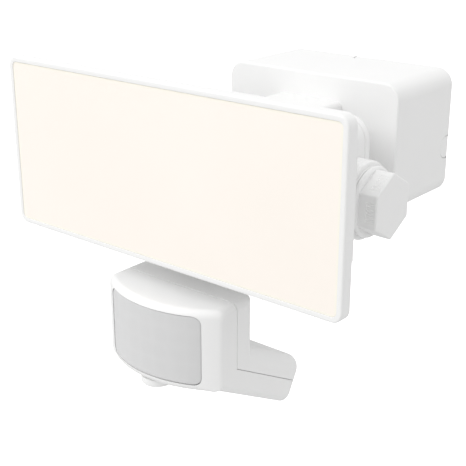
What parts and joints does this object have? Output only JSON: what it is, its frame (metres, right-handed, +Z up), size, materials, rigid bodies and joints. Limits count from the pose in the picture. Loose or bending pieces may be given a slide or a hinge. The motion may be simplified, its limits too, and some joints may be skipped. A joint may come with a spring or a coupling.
{
  "type": "motion sensor floodlight",
  "caption": "Wall floodlight with a wide tilting light panel on a rounded junction box, hexagonal lock knobs and a swivelling motion sensor head below.",
  "frame": {"origin": "middle of the wall box on the wall plane", "axes": "+Y into the wall, -Y the way the light faces, +Z up, +X to the right for a person who faces the light"},
  "size_m": [0.25, 0.229, 0.2109],
  "materials": {
    "white_plastic": "fine moulded satin",
    "white_aluminium": "white powder coat",
    "light_diffuser": "milky diffusing sheet",
    "sensor_window": "frosted polyethylene",
    "zinc_steel": "zinc plated",
    "ground_green": "green lacquer",
    "black_rubber": "matte",
    "clear_seal": "silicone",
    "circuit_board": "solder mask",
    "relay_blue": "moulded",
    "black_plastic": "moulded",
    "copper_winding": "enamelled wire",
    "terminal_cream": "moulded nylon",
    "bronze": "sintered bronze",
    "reflector_white": "diffuse white",
    "led_phosphor": "phosphor",
    "bare_aluminium": "mill finish",
    "photocell_red": "glazed",
    "dial_grey": "moulded"
  },
  "bodies": {
    "wall_mount": {"wall_plate": "zinc_steel", "wall_gasket": "black_rubber", "box_housing": "white_plastic", "knockout_plugs": "white_plastic", "box_screws": "zinc_steel", "terminal_block": "terminal_cream", "ground_screw": "ground_green", "power_board": "circuit_board", "relay": "relay_blue", "capacitor": "black_plastic", "transformer": "copper_winding", "cable_grommet": "black_rubber", "neck": "white_plastic", "neck_screws": "zinc_steel", "bracket_rear_shell": "white_plastic", "bracket_front_shell": "white_plastic", "bracket_screws": "zinc_steel", "barrel_left": "white_plastic", "barrel_right": "white_plastic", "tilt_bushes": "bronze", "friction_washers": "white_plastic"},
    "lamp_head": {"bezel_frame": "white_plastic", "diffuser": "light_diffuser", "panel_gasket": "clear_seal", "reflector": "reflector_white", "led_board": "reflector_white", "led_chips": "led_phosphor", "heat_spreader": "bare_aluminium", "panel_tray": "white_aluminium", "driver_cover": "white_plastic", "cover_screws": "zinc_steel", "led_driver": "black_plastic", "tilt_arm_left": "white_aluminium", "tilt_arm_right": "white_aluminium", "arm_screws": "zinc_steel", "tilt_shaft": "zinc_steel", "vent_plug": "black_rubber", "sensor_stem": "white_plastic", "stem_set_screw": "black_plastic"},
    "knob_left": {"tilt_knob_left": "white_plastic"},
    "knob_right": {"tilt_knob_right": "white_plastic"},
    "swivel": {"sensor_swivel": "white_plastic", "swivel_set_screw": "black_plastic"},
    "sensor_head": {"sensor_front_shell": "white_plastic", "sensor_rear_shell": "white_plastic", "pir_lens": "sensor_window", "lens_retainer": "black_plastic", "pir_board": "circuit_board", "pir_elements": "zinc_steel", "photocell": "photocell_red", "dial_pot": "relay_blue", "dial_collar": "white_plastic", "hinge_pin": "zinc_steel", "hinge_washers": "terminal_cream", "sensor_screws": "zinc_steel"},
    "dial": {"control_dial": "dial_grey"}
  },
  "joints": [
    {"name": "lamp_tilt", "type": "hinge", "parent": "wall_mount", "child": "lamp_head", "pos_m": [0, -0.118, -0.017], "axis": [1, 0, 0], "range_deg": [-20, 45]},
    {"name": "left_knob_turn", "type": "hinge", "parent": "lamp_head", "child": "knob_left", "pos_m": [-0.087, -0.118, -0.017], "axis": [-1, 0, 0], "range_deg": [0, 360]},
    {"name": "right_knob_turn", "type": "hinge", "parent": "lamp_head", "child": "knob_right", "pos_m": [0.087, -0.118, -0.017], "axis": [1, 0, 0], "range_deg": [0, 360]},
    {"name": "sensor_pan", "type": "hinge", "parent": "lamp_head", "child": "swivel", "pos_m": [0, -0.166, -0.09], "axis": [0, 0, 1], "range_deg": [-80, 80]},
    {"name": "sensor_tilt", "type": "hinge", "parent": "swivel", "child": "sensor_head", "pos_m": [0, -0.166, -0.122], "axis": [1, 0, 0], "range_deg": [-8, 30]},
    {"name": "dial_turn", "type": "hinge", "parent": "sensor_head", "child": "dial", "pos_m": [0, -0.2185, -0.12], "axis": [0, 0, -1], "range_deg": [0, 270]}
  ]
}
